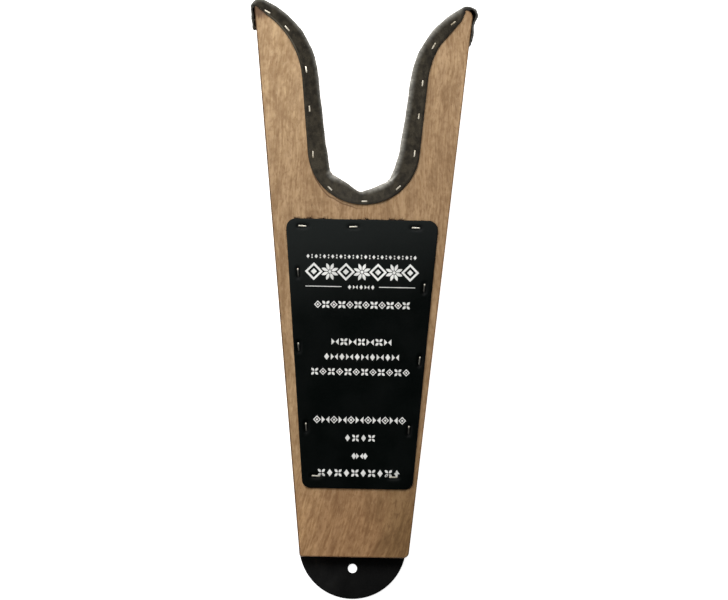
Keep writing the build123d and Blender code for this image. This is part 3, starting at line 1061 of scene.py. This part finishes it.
def build_strip(material, flat_places, end_places):
    """The suede strip, folded over both faces of the fork and straight between its creases."""
    stations = strip_stations()
    outer, inner, from_free = strip_grids(stations)
    rows = len(outer)
    normal = surface_normals(outer)
    if normal[rows // 2, STRIP_COLUMNS // 4] @ OUT < 0:
        normal = -normal
    relief = suede_relief(stations, outer, from_free, flat_places, end_places)
    curl = edge_curl(stations, outer, from_free, flat_places)
    bevel = 0.85 * MM * (1 - step_up(from_free, 0, 1.7 * MM)) * stations.flange
    outer = outer + normal * (relief + curl - bevel)[..., None]
    # the inner face follows the curl at its two free edges
    follow = np.array([0.1, 0.5, 1.0])[None, :, None]
    inner[:, -3:] += OUT * curl[:, :1, None] * follow
    inner[:, :3] -= OUT * curl[:, -1:, None] * follow[:, ::-1]

    points = np.concatenate([outer, inner], axis=1)
    columns = points.shape[1]
    end = list(range(columns))
    faces = grid_quads(rows, columns, closed=True) + [end] + shifted([end], (rows - 1) * columns)
    piece = make_piece("fork_strip", points, faces, material)
    blank = np.zeros((rows, STRIP_INNER))
    # pale folds from rubbed wear and painted sheen, the raw cut edge, and painted shade
    paint(piece, "wear_and_sheen", np.hstack([fold_wear_and_sheen(stations, outer, from_free), blank]))
    paint(piece, "raw", np.hstack([raw_edge(stations, from_free), blank]))
    # painted shade on the strip's ends and cut edge, and on its hidden inner face
    paint(piece, "suede_shade", np.hstack([painted_suede_shade(stations, from_free), blank + 0.6]))
    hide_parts("fork_lining")
    return piece, stations.along[-1]


# ---------------------------------------------------------------- leather panel
PANEL_FINE = 0.45 * MM
PANEL_COARSE_ACROSS = 1.5 * MM
PANEL_COARSE_ALONG = 0.9 * MM
PANEL_BORDER = 11 * MM
PANEL_ROUND = 0.7 * MM
PANEL_WAVES = [(0.10, 30, 21), (0.03, 9, 22)]


def span_stops(length, coarse):
    """Stops from 0 to length, close together near both ends and closest at the very edges."""
    rim = mm(0, 0.04, 0.12, 0.24, 0.42, 0.66)
    head = np.r_[rim, np.arange(1.0 * MM, PANEL_BORDER, PANEL_FINE)]
    count = round((length - 2 * PANEL_BORDER) / coarse) + 1
    middle = np.linspace(PANEL_BORDER, length - PANEL_BORDER, count)
    return np.r_[head, middle, (length - head)[::-1]]


def panel_top(x, s, thickness, places, outline):
    """Height of the panel's surface: dents at the staples, rounded rim and slight waves."""
    flat = place(x, s, BOARD + thickness)
    dent = near_staples(flat, places, 4.0 * MM, 1.7 * MM)
    rise = near_staples(flat, places, 5.6 * MM, 3.4 * MM) - dent
    height = thickness - 1.2 * MM * dent + 0.18 * MM * np.maximum(rise, 0)
    height += waves(flat, PANEL_WAVES)
    inside = distance_from(outline, np.stack([x, s], -1).reshape(-1, 2)).reshape(x.shape)
    inside = np.minimum(inside, PANEL_ROUND) / PANEL_ROUND
    return height - PANEL_ROUND * (1 - np.sqrt(np.maximum(1 - (1 - inside) ** 2, 0)))


def build_panel(material, places):
    """The leather panel: a rounded plate with a dent pressed in round each staple."""
    thickness = board_coordinates(node_points("panel"))[:, 2].max() - BOARD
    outline = cut_outline("panel", BOARD + thickness / 2)[:-1]

    def surface(x, s):
        return place(x, s, BOARD + panel_top(x, s, thickness, places, outline))

    s_low, s_high = outline[:, 1].min(), outline[:, 1].max()
    stops = s_low + span_stops(s_high - s_low, PANEL_COARSE_ALONG)
    x_low, x_high = span_at(outline, stops)
    width = (x_high - x_low).max()
    shares = span_stops(width, PANEL_COARSE_ACROSS) / width
    x = x_low[:, None] + (x_high - x_low)[:, None] * shares
    s = np.repeat(stops[:, None], len(shares), 1)
    upper, lower = surface(x, s), place(x, s, BOARD + 0.02 * MM)
    rows, columns = x.shape
    total = rows * columns
    faces = grid_quads(rows, columns)
    faces += shifted([face[::-1] for face in faces], total)
    numbers = np.arange(total).reshape(rows, columns)
    rim = np.r_[numbers[0], numbers[1:, -1], numbers[-1, -2::-1], numbers[-2:0:-1, 0]].tolist()
    faces += [[a, b, b + total, a + total] for a, b in zip(rim, rim[1:] + rim[:1])]
    piece = make_piece("panel_leather", np.stack([upper, lower]), faces, material)
    # painted shade in the dents round the staples, read by the leather material
    dent_shade = near_staples(upper, places, 4.4 * MM, 1.5 * MM)
    paint(piece, "dent_shade", np.stack([dent_shade, 0 * dent_shade]) * 0.9)
    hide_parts("panel")
    return piece, outline, surface


# ---------------------------------------------------------------- ornament printed on the panel
def lozenge(width=1.0):
    """A lozenge, one unit high; motifs are lists of outlines round a middle at 0."""
    return [np.array([(-width / 2, 0), (0, -0.5), (width / 2, 0), (0, 0.5)])]


def lozenge_frame():
    """A lozenge's outline with a small lozenge inside."""
    outer = lozenge()[0]
    inner = outer * 0.68
    sides = []
    for a in range(4):
        b = (a + 1) % 4
        sides.append(np.array([outer[a], outer[b], inner[b], inner[a]]))
    return sides + [outer * 0.34]


def dot(size):
    """A round dot."""
    turns = np.linspace(0, 2 * math.pi, 16, endpoint=False)
    return [np.stack([np.cos(turns), np.sin(turns)], -1) * size / 2]


def petals(count, start, length, breadth):
    """Leaf shapes round a middle."""
    shares = np.linspace(0, 1, 8)
    heart = 0.09
    along = heart + shares * (length - heart)
    side = breadth * np.sin(shares * math.pi) ** 0.8
    leaf = np.r_[np.stack([along, side], -1), np.stack([along, -side], -1)[::-1][1:-1]]
    made = []
    for turn in range(count):
        a = start + turn * 2 * math.pi / count
        made.append(leaf @ np.array([(math.cos(a), math.sin(a)), (-math.sin(a), math.cos(a))]))
    return made


def bow():
    """Two triangles meeting at their points."""
    triangle = np.array([(-0.5, -0.45), (-0.06, 0), (-0.5, 0.45)])
    return [triangle, -triangle]


def pair(shape, gap):
    """A shape twice, one above the other."""
    return [part * 0.46 + (0, y) for part in shape for y in (-gap, gap)]


MOTIFS = {
    "lozenge": lozenge(0.72),
    "frame": lozenge_frame(),
    "rosette": petals(8, math.pi / 8, 0.5, 0.085) + dot(0.16),
    "flower": petals(4, math.pi / 4, 0.66, 0.17),
    "bow": bow(),
    "pair": pair(lozenge(0.8), 0.28),
}
# rows of the ornament: middle s, middle x, width and height in millimetres, count, motifs in turn
ORNAMENT = [
    (208.5, 1.5, 77, 3.0, 27, ["lozenge", "pair"]),
    (198.0, 2.0, 78, 12.4, 7, ["frame", "rosette"]),
    (187.5, 1.6, 19, 3.2, 5, ["lozenge", "bow"]),
    (175.2, 2.4, 66, 5.2, 12, ["frame", "flower"]),
    (149.5, 2.5, 41, 5.0, 7, ["bow", "flower"]),
    (139.1, 2.4, 52, 4.8, 10, ["lozenge", "bow"]),
    (128.7, 2.2, 68, 5.0, 12, ["flower", "frame"]),
    (95.4, 2.2, 64, 5.4, 11, ["frame", "bow"]),
    (82.9, 2.4, 21, 4.8, 4, ["lozenge", "flower"]),
    (70.4, 2.6, 12, 4.6, 3, ["lozenge", "bow"]),
    (58.6, 2.5, 57, 5.2, 10, ["flower", "lozenge"]),
]
# thin rules: middle s, middle x, width and height in millimetres
RULES = [(187.7, -24.5, 25.0, 0.5), (187.7, 26.5, 25.0, 0.5)]
INK = 0.05 * MM


def print_outlines():
    """Every closed outline of the print, as board (x, s)."""
    outlines = []
    for s, x, width, height, count, motifs in ORNAMENT:
        for number, spot in enumerate(np.linspace(-0.5, 0.5, count)):
            middle = np.array([x + spot * (width - height * 0.9), s])
            for part in MOTIFS[motifs[number % len(motifs)]]:
                outlines.append((part * height + middle) * MM)
    stops = np.linspace(-0.5, 0.5, 16)
    for s, x, width, height in RULES:
        low, high = (np.stack([stops, 0 * stops + side], -1) for side in (-0.5, 0.5))
        outlines.append((np.r_[low, high * (-1, 1)] * (width, height) + (x, s)) * MM)
    return outlines


def build_print(material, surface):
    """Rows of generic motifs, as a thin layer of ink lying on the panel."""
    points, faces = [], []
    for outline in print_outlines():
        base = surface(outline[:, 0], outline[:, 1])
        count = len(outline)
        ring = list(range(count))
        made = [ring, [count + i for i in reversed(ring)]]
        made += [[a, count + a, count + b, b] for a, b in zip(ring, ring[1:] + ring[:1])]
        faces += shifted(made, len(points))
        points += list(base + OUT * INK) + list(base - OUT * INK)
    return make_piece(
        "panel_print", np.array(points), faces, material, sharp_from=math.radians(30)
    )


# ---------------------------------------------------------------- loose fibres
FIBRE_SECTIONS = 5
FIBRE_RADIUS = 0.15 * MM
TUFT_FIBRES = 26
SMALL_TUFTS = 22
SIDE_FIBRES = 70
NAP_FIBRES = 2600
NAP_RADIUS = 0.05 * MM
# where the panel's upper cut edge is most frayed, across the board in millimetres
TUFTS = [-43.0, -36.0, -25.2, 4.9, 21.0, 28.0]


def build_fibres(name, roots, directions, lengths, radius, material):
    """Tapered, curled fibres, each a thin three-sided tube."""
    points, faces = [], []
    corners = 3
    turns = np.arange(corners) * 2 * math.pi / corners
    end = list(range(corners))
    tube = grid_quads(FIBRE_SECTIONS, corners, closed=True) + [end]
    tube += shifted([end], corners * (FIBRE_SECTIONS - 1))
    for root, direction, length in zip(roots, directions, lengths):
        direction = unit(direction)
        bend = np.cross(direction, random.normal(size=3)) * random.uniform(0.1, 0.6)
        side = unit(np.cross(direction, [0.3, 0.5, 0.8]))
        other = np.cross(direction, side)
        faces += shifted(tube, len(points))
        for share in np.linspace(0, 1, FIBRE_SECTIONS):
            middle = root + direction * length * share + bend * length * share**2
            size = radius * (1 - 0.85 * share)
            for turn in turns:
                points.append(middle + (side * math.cos(turn) + other * math.sin(turn)) * size)
    return make_piece(name, np.array(points), faces, material)


def panel_fibres(outline, material):
    """Rough fibres along the panel's upper cut edge and the upper ends of its sides."""
    s_high = outline[:, 1].max()
    x_low, x_high = (x[0] for x in span_at(outline, np.array([s_high - 0.01 * MM])))
    tufts = [(x * MM, 1.0) for x in TUFTS]
    tufts += [(x, 0.35) for x in random.uniform(x_low, x_high, SMALL_TUFTS)]
    roots, directions, lengths = [], [], []
    for middle, weight in tufts:
        lean = random.choice([-1, 1]) * random.uniform(0.6, 1.6)
        for _ in range(int(TUFT_FIBRES * weight)):
            x = np.clip(middle + random.normal(0, 1.3 * MM * weight), x_low, x_high)
            roots.append(place(x, s_high - 0.2 * MM, BOARD + random.uniform(0.15, 1.2) * MM))
            aim = ACROSS * (lean + random.normal(0, 0.5))
            directions.append(UP + aim + OUT * random.uniform(-0.05, 0.25))
            lengths.append(random.uniform(0.8, 2.6 * weight + 0.4) * MM)
    for s in random.uniform(s_high - 30 * MM, s_high - 8 * MM, SIDE_FIBRES):
        side = int(random.choice([0, 1]))
        x = span_at(outline, np.array([s]))[side][0]
        out = ACROSS * (2 * side - 1)
        roots.append(place(x, s, BOARD + random.uniform(0.15, 1.2) * MM) - out * 0.2 * MM)
        directions.append(out + UP * random.normal(0, 0.7))
        lengths.append(random.uniform(0.4, 1.1) * MM)
    return build_fibres(
        "panel_fibres", roots, directions, lengths, FIBRE_RADIUS, material
    )


def strip_fibres(piece, material):
    """Short nap standing off the strip, thickest where the folds are pale with wear and painted
    sheen.
    """
    mesh = piece.data
    count = len(mesh.vertices)

    def values(source, key, size):
        read = np.empty(count * size, np.float32)
        source.foreach_get(key, read)
        return read.reshape(count, size).astype(float)

    wear_and_sheen = values(mesh.attributes["wear_and_sheen"].data, "value", 1)[:, 0]
    points, normals = values(mesh.vertices, "co", 3), values(mesh.vertices, "normal", 3)
    outer = np.arange(count) % (STRIP_COLUMNS + STRIP_INNER) < STRIP_COLUMNS
    chance = np.where(outer, 0.25 + wear_and_sheen, 0)
    chosen = random.choice(count, NAP_FIBRES, replace=False, p=chance / chance.sum())
    directions = normals[chosen] + random.normal(0, 0.5, (len(chosen), 3))
    lengths = random.uniform(0.25, 0.75, len(chosen)) * MM
    return build_fibres(
        "strip_nap", points[chosen], directions, lengths, NAP_RADIUS, material
    )


# ---------------------------------------------------------------- tail tab
TAB_TURNS = 260
TAB_RINGS = 70
TAB_CORNER = 5 * MM
TAB_BEND = 3 * MM
TAB_ROUND = 0.8 * MM
TAB_REACH_LIMIT = 160 * MM
TAB_REACH_STEPS = 4000


def tab_reaches(rays, hole_x, hole_y, hole_radius):
    """Distance from the hole's middle to the tab's outline, along each ray."""
    points = node_points("tail_tab")
    low, high = points.min(0), points.max(0)
    radius, middle_x = (high[0] - low[0]) / 2, (high[0] + low[0]) / 2
    middle_y = low[1] + radius
    steps = np.linspace(hole_radius, TAB_REACH_LIMIT, TAB_REACH_STEPS)
    reaches = []
    for ray in rays:
        x = hole_x + ray[0] * steps - middle_x
        y = hole_y + ray[1] * steps
        round_end = np.hypot(x, np.minimum(y - middle_y, 0)) - radius
        past_x = np.maximum(np.abs(x) - (radius - TAB_CORNER), 0)
        past_y = np.maximum(y - (high[1] - TAB_CORNER), 0)
        square_end = np.hypot(past_x, past_y) - TAB_CORNER
        outside = np.where(y < middle_y, round_end, square_end)
        reaches.append(steps[int(np.argmax(outside > 0))])
    return np.array(reaches)[:, None]


def build_tab(material):
    """The tail tab: flat on the floor past the tail, bent up under the board, with its hole."""
    hole = mount("hanging_hole")
    hole_x, hole_y = hole["pos_m"][:2]
    hole_radius, thickness = hole["dims"]["r_mm"] * MM, hole["dims"]["length_mm"] * MM
    turns = np.linspace(0, 2 * math.pi, TAB_TURNS, endpoint=False)
    rays = np.stack([np.cos(turns), np.sin(turns)], -1)
    reaches = tab_reaches(rays, hole_x, hole_y, hole_radius)
    # rings of points from the hole to the outline, close together at both
    shares = np.linspace(0, 1, TAB_RINGS)[1:-1] ** 1.15
    between = hole_radius + (reaches - hole_radius) * shares
    between = np.clip(between, hole_radius + 0.7 * MM, reaches - 1.1 * MM)
    inner_rim = hole_radius + np.array(mm(0, 0.05, 0.15, 0.3, 0.5)) + 0 * reaches
    outer_rim = reaches - mm(0.9, 0.6, 0.35, 0.15, 0.04, 0)
    distance = np.hstack([inner_rim, between, outer_rim])
    distance = np.maximum.accumulate(distance + np.arange(distance.shape[1]) * 1e-7, axis=1)
    x, y = hole_x + rays[:, :1] * distance, hole_y + rays[:, 1:] * distance
    past = y - place(0, 0, 0)[1]
    bent = np.where(past < -TAB_BEND, 0, (past + TAB_BEND) ** 2 / (4 * TAB_BEND))
    rise = math.tan(SLOPE) * np.where(past > TAB_BEND, past, bent)
    # past the tail the leather curls and ripples a little, and it is rounded at every cut edge
    flat = np.stack([x, y, 0 * x], -1)
    free = step_up(-past, 2 * MM, 20 * MM)
    curl = free * 0.5 * MM * (0.5 + 0.5 * noise(flat, 22 * MM, 31))
    ripple = 0.05 * MM * noise(flat, 4 * MM, 32) * free
    hidden = 0.06 * MM * (1 - free)
    from_rim = np.minimum(distance - hole_radius, reaches - distance)
    drop = TAB_ROUND * (1 - np.sqrt(1 - (1 - np.clip(from_rim / TAB_ROUND, 0, 1)) ** 2))
    upper = np.stack([x, y, thickness + rise + curl - drop + ripple - hidden], -1)
    lower = np.stack([x, y, rise + curl * 0.5 + drop * 0.6 + 0.01 * MM], -1)
    count, columns = distance.shape
    total = count * columns
    faces = []
    for i in range(count):
        here, there = i * columns, (i + 1) % count * columns
        faces += [[here + j, here + j + 1, there + j + 1, there + j] for j in range(columns - 1)]
    faces += shifted([face[::-1] for face in faces], total)
    for j in (0, columns - 1):
        for i in range(count):
            a, b = i * columns + j, (i + 1) % count * columns + j
            faces.append([a, b, b + total, a + total])
    piece = make_piece("tab_leather", np.stack([upper, lower]), faces, material)
    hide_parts("tail_tab")
    return piece


# ---------------------------------------------------------------- build everything
wood, pine = board_wood(), cleat_wood()
wire = wire_steel("staple_steel", (232, 228, 214), (196, 190, 174), 0.38)
panel_wire = wire_steel("panel_staple_steel", (232, 228, 214), (196, 190, 174), 0.38, with_shade=True)
dark_wire = wire_steel("end_staple_steel", (112, 104, 90), (72, 66, 56), 0.5)
dull_wire = wire_steel("lining_staple_steel", (222, 216, 200), (126, 112, 90), 0.45, 14 * MM)
screw_metal = wire_steel("screw_steel", (206, 192, 150), (170, 160, 130), 0.34)
suede_material = suede()
panel_material = smooth_leather(
    "panel_leather", (1, 4, 3), (4, 7, 6), (44, 30, 20), 0.42, sheen_from=165 * MM
)
tab_material = smooth_leather(
    "tab_leather", (18, 18, 18), (39, 39, 38), (46, 34, 26), 0.5, shade_right=True
)
nap_material = fibre_material("suede_nap", (70, 68, 60), (120, 118, 110))
fray_material = fibre_material("leather_fray", (40, 26, 16), (74, 48, 28))

for node, material in (("board", wood), ("cleat", pine), ("cleat_screws", screw_metal)):
    mesh = frame["nodes"][node].data
    mesh.materials.clear()
    mesh.materials.append(material)

flat_places = staples("lining_face_staples", OUT, dull_wire, 0.5 * MM)
flat_places += staples("lining_back_staples", -OUT, dull_wire, 0.4 * MM)
end_places = staples("lining_end_staples", None, dark_wire, 0.2 * MM)
panel_places = staples("panel_staples", OUT, panel_wire, 0.30 * MM)
staples("tab_staples", -OUT, wire, 0.10 * MM)

strip, strip_length = build_strip(suede_material, flat_places, end_places)
nap = strip_fibres(strip, nap_material)
panel, panel_outline, panel_surface = build_panel(panel_material, panel_places)
ornament = build_print(ink(), panel_surface)
fray = panel_fibres(panel_outline, fray_material)
tab = build_tab(tab_material)


# ---------------------------------------------------------------- floor, lights and camera
FLOOR_SIZE = 8.0
PICTURE_WIDTH = 728
SCALE = 0.694 * MM
DISTANCE = 1.6
SENSOR = 36.0
AIM = place(3.74 * MM, 178.7 * MM, BOARD)
ROLL = -0.0183


def build_floor():
    """Plain pale floor, bright enough that shadows on it stay faint."""
    shader = Shader("floor")
    paleness = shader.noise(1 / 3, detail=2.0, vector=shader.coordinates)
    tone = shader.mix(paleness, (246, 246, 246), (250, 250, 250))
    shader.set(Base_Color=tone, Roughness=0.9, Specular_IOR_Level=0.1)
    shader.set(Emission_Color=(1, 1, 1, 1), Emission_Strength=0.9)
    half = FLOOR_SIZE / 2
    mesh = bpy.data.meshes.new("floor")
    corners = [(-half, -half, 0), (half, -half, 0), (half, half, 0), (-half, half, 0)]
    mesh.from_pydata(corners, [], [(0, 1, 2, 3)])
    mesh.materials.append(shader.material)
    floor = add_object("floor", mesh)
    floor.location.z = -0.1 * MM


def add_light(name, spot, size, power):
    """A soft square light at board coordinates, aimed at the middle of the board."""
    data = bpy.data.lights.new(name, "AREA")
    data.size = size
    data.energy = power
    light = add_object(name, data)
    aim = place(*spot) - place(0, BOARD_LENGTH / 2, BOARD)
    light.location = Vector(place(*spot))
    light.rotation_euler = Vector(aim).to_track_quat("Z", "Y").to_euler()


def add_camera():
    """Straight above the board's face, with the picture's width at the board's scale."""
    data = bpy.data.cameras.new("camera")
    data.sensor_width = SENSOR
    data.lens = SENSOR * DISTANCE / (PICTURE_WIDTH * SCALE)
    camera = add_object("camera", data)
    up = unit(ROLL * ACROSS + UP)
    axes = np.stack([np.cross(up, OUT), up, OUT], -1)
    matrix = Matrix(axes.tolist()).to_4x4()
    matrix.translation = Vector(AIM + OUT * DISTANCE)
    camera.matrix_world = matrix
    bpy.context.scene.camera = camera


def add_world():
    """Faint even light from everywhere."""
    world = bpy.data.worlds.new("studio")
    world.use_nodes = True
    background = world.node_tree.nodes["Background"]
    background.inputs["Color"].default_value = (1, 1, 1, 1)
    background.inputs["Strength"].default_value = 0.10
    bpy.context.scene.world = world


build_floor()
add_world()
add_light("key", (-0.12, 0.80, 0.80), 0.7, 10)
add_light("fill", (-1.0, 0.25, 0.8), 1.0, 6)
add_camera()
bpy.context.scene.view_settings.view_transform = "Standard"
